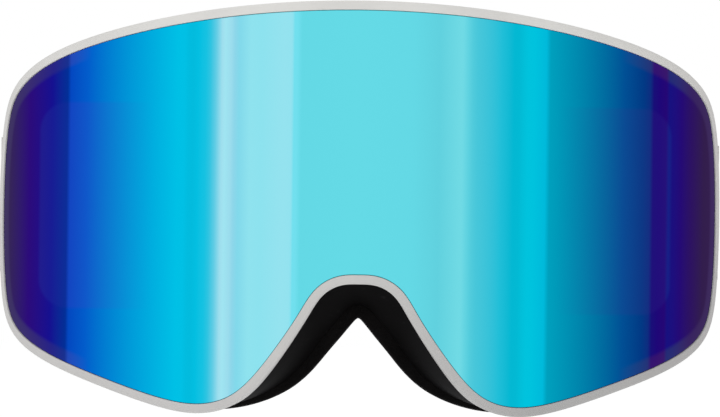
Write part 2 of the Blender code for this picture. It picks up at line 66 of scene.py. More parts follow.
# Right half of each closed outline, from the brow to the nose bridge.
outlines = {
    "rim": [(0, 51.3), (27, 50.0), (50, 46.6), (68, 42.0), (79.8, 36.9), (86.9, 30.6), (89.9, 22.5),
            (91.2, 3), (90.7, -19), (88.6, -30.2), (81.5, -37.8), (65, -44.9), (50, -49.7), (39.2, -51.2),
            (29.7, -48.4), (20.8, -39.4), (12.6, -27.4), (8.6, -21.5), (4.2, -19.1), (0, -18.8)],
    "foam": [(0, 48.6), (26, 47.4), (48, 44.2), (65, 39.8), (76, 35.0), (82, 28.6), (84.4, 20.5),
             (85, 3), (84.4, -18), (82, -28.4), (75.5, -36), (62, -43.4), (50, -48.0), (39.2, -50.4),
             (27.5, -49.4), (15.7, -44.1), (8.0, -36.0), (4.1, -31.3), (1.3, -27.9), (0, -27.0)],
    "opening": [(0, 35.5), (24, 34.8), (44, 32.8), (58, 30.0), (68, 26.6), (73.6, 21.0), (76, 13.5),
                (76.6, 1), (75.8, -13), (73, -21.5), (67, -27.5), (57, -33.5), (47.5, -37.4), (38.5, -39.0),
                (29.5, -37.6), (22, -32.4), (14.6, -24.8), (9.6, -19.4), (4.6, -16.4), (0, -15.6)],
}
lensShape = {"radius": 102.0, "frontY": -78.0, "thickness": 1.2, "gap": 0.06, "edgeRound": 0.12}
faceShape = {"radius": 116.0, "browY": -38.0, "noseForward": 10.0, "noseHalfWidth": 17.0, "noseTopZ": -8.0,
             "noseBlend": 20.0}
ringSteps = 8  # samples between two outline points
sides = (("left", -1), ("right", 1))
axisY = lensShape["frontY"] + lensShape["radius"]


# Outlines and the two surfaces they lie on


def mirrored(half):
    return np.array(list(half) + [(-x, z) for x, z in reversed(half[1:-1])], float)


def unrolled(half):
    r = lensShape["radius"]
    return [(r * math.asin(x / r), z) for x, z in half]


def splineKnots():
    points = mirrored(unrolled(outlines["rim"]))
    gaps = np.linalg.norm(np.roll(points, -1, axis=0) - points, axis=1) ** 0.5
    return np.diff(np.concatenate([[0.0], np.cumsum(gaps)]))


def closedSpline(half, steps=ringSteps):
    points, width = mirrored(half), splineKnots()
    count = len(points)
    slope = (np.roll(points, -1, axis=0) - points) / width[:, None]
    system = np.zeros((count, count))
    for i in range(count):
        system[i, i - 1] = width[i - 1]
        system[i, i] = 2 * (width[i - 1] + width[i])
        system[i, (i + 1) % count] = width[i]
    bend = np.linalg.solve(system, 6 * (slope - np.roll(slope, 1, axis=0)))
    after, bendAfter = np.roll(points, -1, axis=0), np.roll(bend, -1, axis=0)
    samples = []
    for i in range(count):
        for b in np.arange(steps) / steps:
            a = 1 - b
            pull = (a**3 - a) * bend[i] + (b**3 - b) * bendAfter[i]
            samples.append(a * points[i] + b * after[i] + pull * width[i] ** 2 / 6)
    return np.array(samples)


def inwards(loop):
    along = np.roll(loop, -1, axis=0) - np.roll(loop, 1, axis=0)
    along /= np.linalg.norm(along, axis=1)[:, None]
    return np.stack([along[:, 1], -along[:, 0]], axis=1)


def inset(loop, distance):
    return loop + inwards(loop) * distance


def onCylinder(loop, radius):
    angle = loop[:, 0] / lensShape["radius"]
    return np.stack([radius * np.sin(angle), axisY - radius * np.cos(angle), loop[:, 1]], axis=1)


def faceY(x, z):
    f = faceShape
    arc = f["browY"] + f["radius"] - np.sqrt(f["radius"] ** 2 - x**2)
    below = np.clip((f["noseTopZ"] - z) / f["noseBlend"], 0, 1)
    nose = np.exp(-((x / f["noseHalfWidth"]) ** 2)) * below * below * (3 - 2 * below)
    return arc - f["noseForward"] * nose


def beforeFace(loop, distance):
    return np.stack([loop[:, 0], faceY(loop[:, 0], loop[:, 1]) - distance, loop[:, 1]], axis=1)


rimLoop = closedSpline(unrolled(outlines["rim"]))
foamLoop = closedSpline(outlines["foam"])
openingLoop = closedSpline(outlines["opening"])


# Node trees and the looks made of them


class NodeMaker:
    # Adds nodes to a tree. A value can be a plain one, a socket, or a node whose first output is meant.
    def __init__(self, tree, family="ShaderNode"):
        self.tree, self.family = tree, family

    def add(self, kind, values=None, **settings):
        made = self.tree.nodes.new(kind if "Node" in kind else self.family + kind)
        for key, value in settings.items():
            setattr(made, key, value)
        for key, value in (values or {}).items():
            self.feed(made, key, value)
        return made

    def feed(self, made, key, value):
        if isinstance(value, bpy.types.Node):
            value = value.outputs[0]
        if isinstance(value, bpy.types.NodeSocket):
            self.tree.links.new(value, made.inputs[key])
        else:
            made.inputs[key].default_value = value

    def math(self, operation, a, b=0.0):
        return self.add("ShaderNodeMath", {0: a, 1: b}, operation=operation)

    def scaled(self, vector, amount):
        return self.add("ShaderNodeVectorMath", {0: vector, "Scale": amount}, operation="SCALE")

    def remap(self, value, low, high, toLow=0.0, toHigh=1.0):
        return self.add("MapRange", {"Value": value, "From Min": low, "From Max": high,
                                     "To Min": toLow, "To Max": toHigh})

    def ramp(self, factor, stops, interpolation="LINEAR", share=1.0):
        made = self.add("ValToRGB", {0: factor})
        band = made.color_ramp
        band.interpolation = interpolation
        while len(band.elements) > 1:
            band.elements.remove(band.elements[0])
        for i, (place, colour) in enumerate(stops):
            stop = band.elements[0] if i == 0 else band.elements.new(place)
            stop.position = place
            stop.color = tone(colour, share)
        return made

    def mix(self, factor, a, b, blend="MIX"):
        return self.add("Mix", {"Factor": factor, 6: a, 7: b}, data_type="RGBA", blend_type=blend).outputs[2]

    def coords(self, kind="Object", scale=(1, 1, 1)):
        place = self.add("TexCoord").outputs[kind]
        return self.add("Mapping", {"Vector": place, "Scale": scale})

    def noise(self, scale, detail=2.0, stretch=(1, 1, 1), kind="Object"):
        return self.add("TexNoise", {"Vector": self.coords(kind, stretch), "Scale": scale, "Detail": detail})

    def bump(self, height, depth, strength=1.0, below=None):
        made = self.add("Bump", {"Height": height, "Distance": depth, "Strength": strength})
        if below:
            self.feed(made, "Normal", below)
        return made


class Paint(NodeMaker):
    def __init__(self, name):
        self.material = bpy.data.materials.new(name)
        self.material.use_nodes = True
        super().__init__(self.material.node_tree)
        self.shader = self.tree.nodes["Principled BSDF"]

    def set(self, **values):
        for key, value in values.items():
            self.feed(self.shader, key.replace("_", " "), value)
        return self.material


def grey(value):
    return (value, value, value)


def tone(colour, share=1.0):
    # One number stands for a grey.
    parts = grey(colour) if isinstance(colour, (int, float)) else colour
    return (*[c * share for c in parts], 1)


def rimSatin():
    look = {"top": (0.715, 0.705, 0.68), "shadedLowLeft": (0.555, 0.545, 0.535), "shadedLowRight": (0.43, 0.425, 0.42),
            "heights": (-0.05, 0.05), "turn": (-0.02, 0.05), "mottle": 60.0, "roughness": (0.42, 0.52),
            "grain": 2600.0, "grainDepth": 0.00003}
    p = Paint("rimSatin")
    place = p.add("SeparateXYZ", {0: p.coords()})
    # Painted shade: the rim is palest at the top and darkens towards the bottom, most at the lower right.
    low = p.mix(p.remap(place.outputs[0], *look["turn"]), tone(look["shadedLowLeft"]), tone(look["shadedLowRight"]))
    colour = p.mix(p.remap(place.outputs[2], *look["heights"]), low, tone(look["top"]))
    cloud = p.noise(look["mottle"], 3.0)
    mottled = p.mix(p.ramp(cloud, [(0.35, 0.94), (0.65, 1.0)]), (0, 0, 0, 1), colour)
    rough = p.remap(cloud, 0, 1, *look["roughness"])
    grain = p.bump(p.noise(look["grain"]), look["grainDepth"], 0.6)
    return p.set(Base_Color=mottled, Roughness=rough, Normal=grain)


def lensMirror():
    # The coating shifts from cyan through blue to violet towards the temples; places are in millimetres.
    # A painted highlight, a slightly warmer streak like a soft box's reflection, lies left of the middle.
    look = {
        "shift": [(0, (0.13, 0.70, 0.79)), (26, (0.125, 0.68, 0.78)), (30, (0.06, 0.58, 0.74)),
                  (36, (0.012, 0.53, 0.74)), (39, (0.001, 0.53, 0.77)), (44, (0.0, 0.53, 0.79)),
                  (56, (0.0, 0.32, 0.69)), (67, (0.0, 0.112, 0.60)), (72, (0.0, 0.060, 0.52)),
                  (76, (0.013, 0.010, 0.47)), (82, (0.042, 0.005, 0.33)), (88, (0.055, 0.035, 0.13))],
        "highlightStreak": [(-38.2, 0.0), (-37.2, 0.014), (-36.0, 0.07), (-34.3, 0.2), (-33.4, 0.165), (-32, 0.165),
                   (-30, 0.08), (-24.4, 0.071), (-19, 0.1), (-17, 0.095), (-16.4, 0.0)],
        "highlightTint": (1.0, 0.25, 0.1), "lean": 0.0012, "edgeTint": (0.65, 0.55, 0.72),
        "border": [(0.0, 0.62), (2.4, 0.5), (3.4, 0.0)], "borderTint": (0.10, 0.085, 0.24),
        "borderFrom": (0.066, 0.083), "windowHalf": (0.072, 0.0185), "windowRound": (0.0068, 0.0076),
        "windowTint": (0.024, 0.05, 0.55), "windowShare": 0.33, "windowFrom": (0.05, 0.078),
        "roughness": (0.008, 0.020), "smear": (30, 30, 60), "ripple": 9.0, "rippleDepth": 0.00002,
    }
    p = Paint("lensMirror")
    place = p.add("SeparateXYZ", {0: p.coords()})
    side = place.outputs[0]
    across = p.math("ABSOLUTE", p.math("ADD", side, look["lean"]))
    # On these two ramps 100 mm is the whole length, and the painted highlight's starts 50 mm left of the
    # middle.
    coating = p.ramp(p.math("MULTIPLY", across, 10.0), [(mm * 0.01, colour) for mm, colour in look["shift"]])
    # The second ramp adds the painted highlight to the coating's colour.
    paintedHighlight = p.ramp(p.math("ADD", p.math("MULTIPLY", side, 10.0), 0.5),
                  [(mm * 0.01 + 0.5, [share * c for c in look["highlightTint"]]) for mm, share in look["highlightStreak"]])
    coating = p.mix(1.0, coating.outputs[0], paintedHighlight.outputs[0], "ADD")
    # The carrier shows faintly through the coating: a paler border, and the window inside it.
    past = [p.math("MAXIMUM", p.math("SUBTRACT", way, half), 0.0)
            for way, half in zip((across, p.math("ABSOLUTE", place.outputs[2])), look["windowHalf"])]
    reach = p.add("VectorMath", {0: p.add("CombineXYZ", {0: past[0], 1: past[1]})}, operation="LENGTH")
    window = p.remap(reach.outputs["Value"], *look["windowRound"], look["windowShare"], 0.0)
    shown = p.math("MULTIPLY", window, p.remap(across, *look["windowFrom"]))
    backed = p.mix(shown, coating, tone(look["windowTint"]))
    # The ramp for the border spans 10 mm in from the lens's edge.
    edge = p.add("Attribute", attribute_name="edgeGap").outputs["Fac"]
    border = p.ramp(p.math("MULTIPLY", edge, 0.1), [(mm * 0.1, share) for mm, share in look["border"]])
    shown = p.math("MULTIPLY", border, p.remap(across, *look["borderFrom"]))
    backed = p.mix(shown, backed, tone(look["borderTint"]))
    rough = p.remap(p.noise(1.0, 5.0, look["smear"]), 0, 1, *look["roughness"])
    ripple = p.bump(p.noise(look["ripple"], 1.0), look["rippleDepth"], 0.15)
    return p.set(Base_Color=backed, Metallic=1.0, Roughness=rough, Normal=ripple,
                 Specular_Tint=tone(look["edgeTint"]))


def lensBack():
    p = Paint("lensBack")
    haze = p.noise(25.0, 3.0)
    colour = p.mix(haze, (0.20, 0.085, 0.035, 1), (0.25, 0.115, 0.055, 1))
    rough = p.remap(haze, 0, 1, 0.06, 0.14)
    return p.set(Base_Color=colour, Roughness=rough, IOR=1.5, Specular_IOR_Level=0.3)


def lensClear():
    p = Paint("lensClear")
    haze = p.noise(60.0, 4.0)
    tint = p.mix(haze, (0.93, 0.86, 0.79, 1), (0.97, 0.9, 0.84, 1))
    rough = p.remap(haze, 0, 1, 0.01, 0.05)
    return p.set(Base_Color=tint, Roughness=rough, Transmission_Weight=1.0, IOR=1.49)


def mouldedPlastic(name, colour, roughness, grainDepth=0.00002, grain=3200.0, gloss=0.35):
    look = {"cloud": 140.0, "scuffs": 260.0, "scuffShare": 0.035, "scuffed": 0.22}
    p = Paint(name)
    cloud = p.noise(look["cloud"], 4.0)
    shade = p.mix(cloud, tone(colour, 0.75), tone(colour, 1.3))
    scuffs = p.ramp(p.noise(look["scuffs"], 6.0, (1, 1, 4)), [(0.62, 0.0), (0.78, look["scuffShare"])])
    worn = p.mix(scuffs, shade, tone(look["scuffed"]))
    rough = p.remap(cloud, 0, 1, roughness - 0.06, roughness + 0.1)
    return p.set(Base_Color=worn, Roughness=rough, Normal=p.bump(p.noise(grain), grainDepth, 0.7),
                 Specular_IOR_Level=gloss)


def cellFoam(name, colour, cell):
    # A cell's width is in millimetres.
    p = Paint(name)
    cells, small = [p.add("TexVoronoi", {"Vector": p.coords(), "Scale": scale / cell})
                    for scale in (1000.0, 2300.0)]
    pores = p.ramp(cells, [(0.05, 0.3), (0.55, 1.0)])
    toned = p.mix(p.noise(120.0, 3.0), tone(colour, 0.7), tone(colour, 1.6))
    # Painted shade: the colour falls to half in the pores' pits.
    shade = p.mix(pores, tone(colour, 0.5), toned)
    relief = p.bump(small, 0.00015, 0.5, p.bump(pores, 0.0003 * cell, 0.8))
    return p.set(Base_Color=shade, Roughness=0.95, Normal=relief, Specular_IOR_Level=0.12)


def faceFleece():
    look = {"colour": (0.004, 0.004, 0.004), "tip": (0.020, 0.018, 0.018), "pile": 1500.0, "brushing": 260.0,
            "pileDepth": 0.0004, "brushingDepth": 0.0005, "sheen": (0.4, 0.4, 0.42)}
    p = Paint("faceFleece")
    pile = p.noise(look["pile"], 6.0)
    pile.inputs["Roughness"].default_value = 0.7
    brushed = p.noise(look["brushing"], 4.0, (1, 1, 0.3))
    colour = p.mix(p.ramp(pile, [(0.45, 0.0), (0.7, 1.0)]), tone(look["colour"]), tone(look["tip"]))
    tufts = p.bump(pile, look["pileDepth"], 0.9, p.bump(brushed, look["brushingDepth"], 0.4))
    return p.set(Base_Color=colour, Roughness=1.0, Normal=tufts, Specular_IOR_Level=0.06,
                 Sheen_Weight=0.12, Sheen_Roughness=0.6, Sheen_Tint=tone(look["sheen"]))


def brushedSteel(name, colour, roughness):
    p = Paint(name)
    lines = p.noise(2500.0, 3.0, (1, 1, 0.05))
    shade = p.mix(p.noise(400.0, 4.0), tone(colour, 0.85), tone(colour))
    rough = p.remap(lines, 0, 1, roughness, roughness + 0.15)
    return p.set(Base_Color=shade, Metallic=1.0, Roughness=rough, Normal=p.bump(lines, 0.00001, 0.5))


def strapWeave():
    # UV runs along the strap and across it, in metres; the stripes' places are shares of 25 mm.
    look = {"rib": 0.0009, "cord": 0.0011, "ground": (0.028, 0.029, 0.033), "line": (0.55, 0.56, 0.57),
            "accent": (0.02, 0.30, 0.52), "edge": (0.015, 0.015, 0.017), "lint": (0.3, 0.3, 0.31),
            "fuzz": 5200.0, "stripeScale": 40.0,
            "stripes": [(0.0, "ground"), (0.30, "line"), (0.345, "ground"), (0.40, "accent"),
                        (0.52, "ground"), (0.57, "line"), (0.60, "ground"), (0.74, "edge")]}
    p = Paint("strapWeave")
    uv = p.add("SeparateXYZ", {0: p.add("TexCoord").outputs["UV"]})
    along = p.math("DIVIDE", uv.outputs[0], look["rib"])
    across = p.math("DIVIDE", uv.outputs[1], look["cord"])
    # Every second cord is half a rib further on; 400 cords are added to keep the count positive.
    parity = p.math("MODULO", p.math("FLOOR", p.math("ADD", across, 400.0)), 2.0)
    stagger = p.math("ADD", along, p.math("MULTIPLY", parity, 0.5))
    rib, cord = [p.math("ABSOLUTE", p.math("SINE", p.math("MULTIPLY", way, math.pi)))
                 for way in (stagger, across)]
    loops = p.math("MULTIPLY", p.math("POWER", rib, 0.6), p.math("POWER", cord, 0.5))
    fuzz = p.noise(look["fuzz"], 3.0, kind="UV")
    width = p.math("MULTIPLY", p.math("ABSOLUTE", uv.outputs[1]), look["stripeScale"])
    stripes = p.ramp(width, [(place, look[colour]) for place, colour in look["stripes"]], "CONSTANT")
    # Painted shade: the gaps between the yarn loops are darkened, down to a quarter.
    depth = p.ramp(loops, [(0.1, 0.25), (0.8, 1.0)])
    shadedYarn = p.mix(1.0, stripes.outputs[0], depth.outputs[0], "MULTIPLY")
    lint = p.mix(p.ramp(fuzz, [(0.4, 0.0), (0.8, 0.15)]), shadedYarn, tone(look["lint"]))
    relief = p.bump(fuzz, 0.00005, 0.5, p.bump(loops, 0.00022, 0.9))
    return p.set(Base_Color=lint, Roughness=0.88, Normal=relief, Specular_IOR_Level=0.2,
                 Sheen_Weight=0.25, Sheen_Roughness=0.5)


def gripSilicone():
    p = Paint("gripSilicone")
    cloud = p.noise(300.0, 3.0)
    colour = p.mix(cloud, (0.33, 0.35, 0.37, 1), (0.45, 0.47, 0.49, 1))
    return p.set(Base_Color=colour, Roughness=0.28, Normal=p.bump(cloud, 0.0001, 0.4),
                 Subsurface_Weight=0.2, Subsurface_Radius=grey(0.001))


def sewingThread(name, colour):
    p = Paint(name)
    twist = p.add("TexWave", {"Vector": p.coords(), "Scale": 900.0, "Distortion": 1.0})
    # Painted shade: the grooves of the twist are darker.
    shade = p.mix(twist, tone(colour, 0.6), tone(colour))
    return p.set(Base_Color=shade, Roughness=0.6, Normal=p.bump(twist, 0.00005, 0.6), Sheen_Weight=0.3)


paints = {
    "rim": rimSatin(), "mirror": lensMirror(), "lensBack": lensBack(), "lensClear": lensClear(),
    "rubber": mouldedPlastic("softRubber", (0.0048, 0.0044, 0.0046), 0.62, 0.00004, 1800.0, 0.06),
    "carrier": mouldedPlastic("carrierPlastic", (0.022, 0.022, 0.024), 0.45),
    "arm": mouldedPlastic("armPlastic", (0.02, 0.02, 0.022), 0.34),
    "foamBlack": cellFoam("foamBlack", (0.0045, 0.004, 0.004), 0.45),
    "foamGrey": cellFoam("foamGrey", (0.04, 0.04, 0.043), 0.5),
    "ventFoam": cellFoam("ventFoam", (0.03, 0.03, 0.032), 1.1),
    "fleece": faceFleece(), "magnet": brushedSteel("magnetPlate", (0.72, 0.72, 0.74), 0.18),
    "pin": brushedSteel("pinSteel", (0.6, 0.6, 0.62), 0.25), "strap": strapWeave(),
    "silicone": gripSilicone(), "thread": sewingThread("strapThread", (0.5, 0.51, 0.52)),
}
print("goggles: materials made")


# Meshes


def addObject(name, data):
    made = bpy.data.objects.new(name, data)
    bpy.context.scene.collection.objects.link(made)
    return made


def addPiece(name, points, faces, materials, faceSlots=None, sharp=40):
    mesh = bpy.data.meshes.new(name)
    mesh.from_pydata((np.asarray(points, float) * 0.001).tolist(), [], faces)
    for material in materials:
        mesh.materials.append(material)
    if faceSlots is not None:
        mesh.polygons.foreach_set("material_index", faceSlots)
    shaped = bmesh.new()
    shaped.from_mesh(mesh)
    bmesh.ops.recalc_face_normals(shaped, faces=shaped.faces)
    shaped.to_mesh(mesh)
    shaped.free()
    mesh.shade_smooth()
    if sharp:
        mesh.set_sharp_from_angle(angle=math.radians(sharp))
    return addObject(name, mesh)


def freeze(piece, sharp=None):
    # Leaves a piece as the plain mesh that its modifiers make.
    graph = bpy.context.evaluated_depsgraph_get()
    made = bpy.data.meshes.new_from_object(piece.evaluated_get(graph))
    piece.modifiers.clear()
    piece.data = made
    if sharp:
        made.shade_smooth()
        made.set_sharp_from_angle(angle=math.radians(sharp))
    return piece


def carve(piece, cutters, operation="DIFFERENCE"):
    for cutter in cutters:
        change = piece.modifiers.new(cutter.name, "BOOLEAN")
        change.operation, change.object, change.solver = operation, cutter, "EXACT"
    freeze(piece)
    for cutter in cutters:
        bpy.data.objects.remove(cutter)


def softenEdges(piece, width, segments=2):
    bevel = piece.modifiers.new("softEdges", "BEVEL")
    bevel.width, bevel.segments, bevel.limit_method = width * 0.001, segments, "ANGLE"
    bevel.angle_limit = math.radians(35)
    return freeze(piece, 40)


def roundLoops(section, radii, steps=4):
    # Rounds the corners of a ring's section: one radius for each corner loop.
    made, count = [], len(section)
    for k, corner in enumerate(section):
        if not radii[k]:
            made.append(corner)
            continue
        before, after = section[k - 1] - corner, section[(k + 1) % count] - corner
        lengths = [np.linalg.norm(side, axis=1)[:, None] for side in (before, after)]
        first, last = [corner + side / length * np.minimum(radii[k], 0.48 * length)
                       for side, length in zip((before, after), lengths)]
        for t in np.linspace(0, 1, steps + 1):
            made.append(first * (1 - t) ** 2 + corner * 2 * t * (1 - t) + last * t**2)
    return made


def ringPiece(name, section, materials, closed=True, sharp=40):
    loops, count = len(section), len(section[0])
    last = count if closed else count - 1
    faces = []
    for a in range(loops):
        b = (a + 1) % loops
        faces += [(a * count + i, a * count + (i + 1) % count, b * count + (i + 1) % count, b * count + i)
                  for i in range(last)]
    if not closed:
        faces += [tuple(k * count for k in range(loops)), tuple(k * count + count - 1 for k in range(loops))]
    return addPiece(name, np.concatenate(section), faces, materials, sharp=sharp)


def boxPiece(name, size, matrix, materials=()):
    corners = [Vector((x * size[0], y * size[1], z * size[2])) for x in (-0.5, 0.5) for y in (-0.5, 0.5)
               for z in (-0.5, 0.5)]
    faces = [(0, 1, 3, 2), (4, 6, 7, 5), (0, 4, 5, 1), (2, 3, 7, 6), (0, 2, 6, 4), (1, 5, 7, 3)]
    return addPiece(name, [tuple(matrix @ c) for c in corners], faces, materials)


def turnedPiece(name, radius, low, high, centre, steps=48):
    ring = [(centre[0] + radius * math.cos(a), centre[1] + radius * math.sin(a))
            for a in (math.tau * k / steps for k in range(steps))]
    faces = [(k, (k + 1) % steps, steps + (k + 1) % steps, steps + k) for k in range(steps)]
    faces += [tuple(range(steps)), tuple(range(steps, 2 * steps))]
    return addPiece(name, [(x, y, z) for z in (low, high) for x, y in ring], faces, [])


# Lens unit

lensUnit = {"rimWidth": 2.4, "innerRadius": 98.6, "innerThickness": 0.8, "innerInset": 8.8,
            "carrierInset": (3.2, 8.2), "gasketInset": (8.6, 11.8), "carrierR": (98.3, 100.5),
            "gasketR": (98.9, 100.5), "border": (0.35, 0.8, 1.4, 2.2, 3.0, 4.0, 5.0, 6.0, 7.0, 8.5, 10.0),
            "innerBorder": (0.4, 1.2, 2.5), "strip": 1.5}


def lensSheet(edge, borders):
    # The lens unrolled flat: rings along its border, and upright strips in the middle.
    # Each point keeps its distance from the edge.
    sheet, count = bmesh.new(), len(edge)
    gap = sheet.verts.layers.float.new("edgeGap")
    rings = []
    for width in borders:
        ring = []
        for u, z in inset(edge, width):
            vertex = sheet.verts.new((u, z, 0))
            vertex[gap] = width
            ring.append(vertex)
        rings.append(ring)
    for outer, inner in zip(rings, rings[1:]):
        for i in range(count):
            sheet.faces.new((outer[i], outer[(i + 1) % count], inner[(i + 1) % count], inner[i]))
    middle = [sheet.faces.new(rings[-1])]
    cuts = int(max(abs(v.co.x) for v in rings[-1]) // lensUnit["strip"])
    for k in range(-cuts, cuts + 1):
        touched = set(middle) | {e for f in middle for e in f.edges} | {v for f in middle for v in f.verts}
        cut = bmesh.ops.bisect_plane(sheet, geom=list(touched), dist=1e-5, plane_no=(1, 0, 0),
                                     plane_co=(k * lensUnit["strip"], 0, 0))
        middle = [g for g in cut["geom"] if isinstance(g, bmesh.types.BMFace)]
    for vertex in sheet.verts:
        if vertex[gap] == 0:
            vertex[gap] = borders[-1]
    sheet.verts.index_update()
    faces = [tuple(v.index for v in f.verts) for f in sheet.faces]
    points = np.array([v.co[:2] for v in sheet.verts])
    gaps = [v[gap] for v in sheet.verts]
    rim = [v.index for v in rings[0]]
    sheet.free()
    return points, faces, gaps, rim


def shadeLens(mesh, points, total):
    # The front and the back are shaded as true cylinders, and the edge between them as it is.
    angles = np.arctan2(points[:, 0], axisY - points[:, 1])
    radial = np.stack([np.sin(angles), -np.cos(angles), np.zeros(len(points))], axis=1)
    normals = []
    for face in mesh.polygons:
        inFront = all(v < total for v in face.vertices)
        behind = all(total <= v < 2 * total for v in face.vertices)
        for index in face.vertices:
            if inFront:
                normals.append(tuple(radial[index]))
            elif behind:
                normals.append(tuple(-radial[index]))
            else:
                normals.append(tuple(face.normal))
    mesh.normals_split_custom_set(normals)


def lensPiece(name, startInset, frontR, thickness, borders, materials):
    rounded = lensShape["edgeRound"]
    edge = inset(rimLoop, startInset)
    flatPoints, frontFaces, gaps, rim = lensSheet(edge, [rounded] + [b for b in borders if b > rounded])
    backR = frontR - thickness
    total, count = len(flatPoints), len(edge)
    points = np.concatenate([onCylinder(flatPoints, frontR), onCylinder(flatPoints, backR),
                             onCylinder(edge, frontR - rounded), onCylinder(edge, backR + rounded)])
    faces = frontFaces + [tuple(reversed([total + i for i in face])) for face in frontFaces]
    slots = [0] * len(frontFaces) + [1] * len(frontFaces)
    upper, lower = 2 * total, 2 * total + count
    for i in range(count):
        j = (i + 1) % count
        faces += [(rim[i], upper + i, upper + j, rim[j]), (upper + i, lower + i, lower + j, upper + j),
                  (lower + i, total + rim[i], total + rim[j], lower + j)]
        slots += [0, 0, 1]
    piece = addPiece(name, points, faces, materials, slots, sharp=0)
    store = piece.data.attributes.new("edgeGap", "FLOAT", "POINT")
    store.data.foreach_set("value", gaps + gaps + [0.0] * (2 * count))
    shadeLens(piece.data, points, total)
    return piece


outerLens = lensPiece("mirrorLens", lensUnit["rimWidth"] + lensShape["gap"], lensShape["radius"],
                      lensShape["thickness"], lensUnit["border"], [paints["mirror"], paints["lensBack"]])
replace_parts(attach(outerLens, "lens_unit"), "outer_lens")
innerLens = lensPiece("clearLens", lensUnit["innerInset"], lensUnit["innerRadius"],
                      lensUnit["innerThickness"], lensUnit["innerBorder"], [paints["lensClear"]] * 2)
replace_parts(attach(innerLens, "lens_unit"), "inner_lens")


magnetShape = {"size": (8.0, 3.4, 1.0), "room": 0.15, "inset": 5.6, "points": (1, 7, 11),
               "frameRadius": 97.35, "lensRadius": 98.95}  # the points are those of the rim's outline


def magnetPlace(point, side, radius):
    loop = closedSpline(unrolled(outlines["rim"]), 2)
    at = point * 2
    middle = inset(loop, magnetShape["inset"])[at]
    along = loop[at + 1] - loop[at - 1]
    angle = middle[0] / lensShape["radius"]
    outwards = Vector((math.sin(angle), -math.cos(angle), 0))
    tangent = Vector((math.cos(angle), math.sin(angle), 0))
    length = (tangent * along[0] + Vector((0, 0, along[1]))).normalized()
    matrix = Matrix((length, outwards.cross(length), outwards)).transposed().to_4x4()
    matrix.translation = outwards * radius + Vector((0, axisY, middle[1]))
    return Matrix.Diagonal((side, 1, 1, 1)) @ matrix


def magnetPockets(radius):
    size = tuple(s + 2 * magnetShape["room"] for s in magnetShape["size"])
    return [boxPiece(f"pocket{k}{side}", size, magnetPlace(k, side, radius))
            for k in magnetShape["points"] for side in (-1, 1)]


def cylinderRing(name, insets, radii, rounding, materials):
    corners = [(insets[0], radii[1]), (insets[1], radii[1]), (insets[1], radii[0]), (insets[0], radii[0])]
    section = [onCylinder(inset(rimLoop, b), r) for b, r in corners]
    return ringPiece(name, roundLoops(section, [rounding] * 4, 3), materials)


carrier = cylinderRing("lensCarrier", lensUnit["carrierInset"], lensUnit["carrierR"], 0.3,
                       [paints["carrier"]])
carve(carrier, magnetPockets(magnetShape["lensRadius"] - magnetShape["room"]))
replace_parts(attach(carrier, "lens_unit"), "lens_carrier")
gasket = cylinderRing("lensSeal", lensUnit["gasketInset"], lensUnit["gasketR"], 0.35, [paints["ventFoam"]])
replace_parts(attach(gasket, "lens_unit"), "lens_gasket")
print("goggles: lens unit made")


# Rim

rimShape = {"frontR": 102.4, "ledgeR": 98.0, "rearR": 95.8, "width": 2.4, "ledgeInset": 8.5, "draft": 0.8,
            "rounds": (1.05, 0.22, 0, 0.3, 0.3, 0.5), "blackLoops": (12, 25),
            "pin": (88.6, -12.0), "eyeR": 2.4, "holeR": 1.35, "lug": (12.3, 17.0), "lugLong": 10.0,
            "lugRound": 0.8}


def rimPiece():
    s = rimShape
    corners = [(0, s["frontR"]), (s["width"], s["frontR"]), (s["width"], s["ledgeR"]),
               (s["ledgeInset"], s["ledgeR"]), (s["ledgeInset"], s["rearR"]), (s["draft"], s["rearR"])]
    section = [onCylinder(inset(rimLoop, b), r) for b, r in corners]
    rim = ringPiece("rim", roundLoops(section, s["rounds"], 5), [paints["rim"], paints["carrier"]])
    # The ledge behind the lip is black.
    first, last = s["blackLoops"]
    for face in rim.data.polygons:
        if first <= face.index // len(rimLoop) <= last:
            face.material_index = 1
    carve(rim, magnetPockets(magnetShape["frameRadius"] + magnetShape["room"]))
    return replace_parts(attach(rim, "frame"), "front_frame")


def rimLugs(side, sign):
    s = rimShape
    centre = (sign * s["pin"][0], s["pin"][1])
    low, high = s["lug"]
    lugs = None
    for up in (-1, 1):
        span = sorted((up * low, up * high))
        place = Matrix.Translation((centre[0], centre[1] - s["lugLong"] / 2, sum(span) / 2))
        arm = boxPiece(f"lugArm{up}", (2 * s["eyeR"], s["lugLong"], high - low), place, [paints["rim"]])
        carve(arm, [turnedPiece(f"lugEye{up}", s["eyeR"], *span, centre)], "UNION")
        if lugs:
            carve(lugs, [arm], "UNION")
        else:
            lugs = arm
    carve(lugs, [turnedPiece("lugHole", s["holeR"], -high - 1, high + 1, centre)])
    lugs.name = f"rimLugs_{side}"
    softenEdges(lugs, s["lugRound"], 4)
    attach(lugs, "frame")


rimPiece()
for sideName, sideSign in sides:
    rimLugs(sideName, sideSign)
print("goggles: rim made")


# Rear frame and its vents

rearShape = {"frontGap": 0.3, "wall": 2.2, "flange": 1.8, "foamThick": 14.0, "overhang": 1.0, "step": 0.1,
             "noseOverhang": 2.0, "noseWidth": 22.0, "rounds": (0.3, 0.6, 0.4, 0.4, 1.0, 0.3),
             "ventSize": (17.0, 8.0, 14.0), "ventRound": 1.6, "topVents": (-48, -24, 0, 24, 48),
             "cheekVents": (42, 62)}


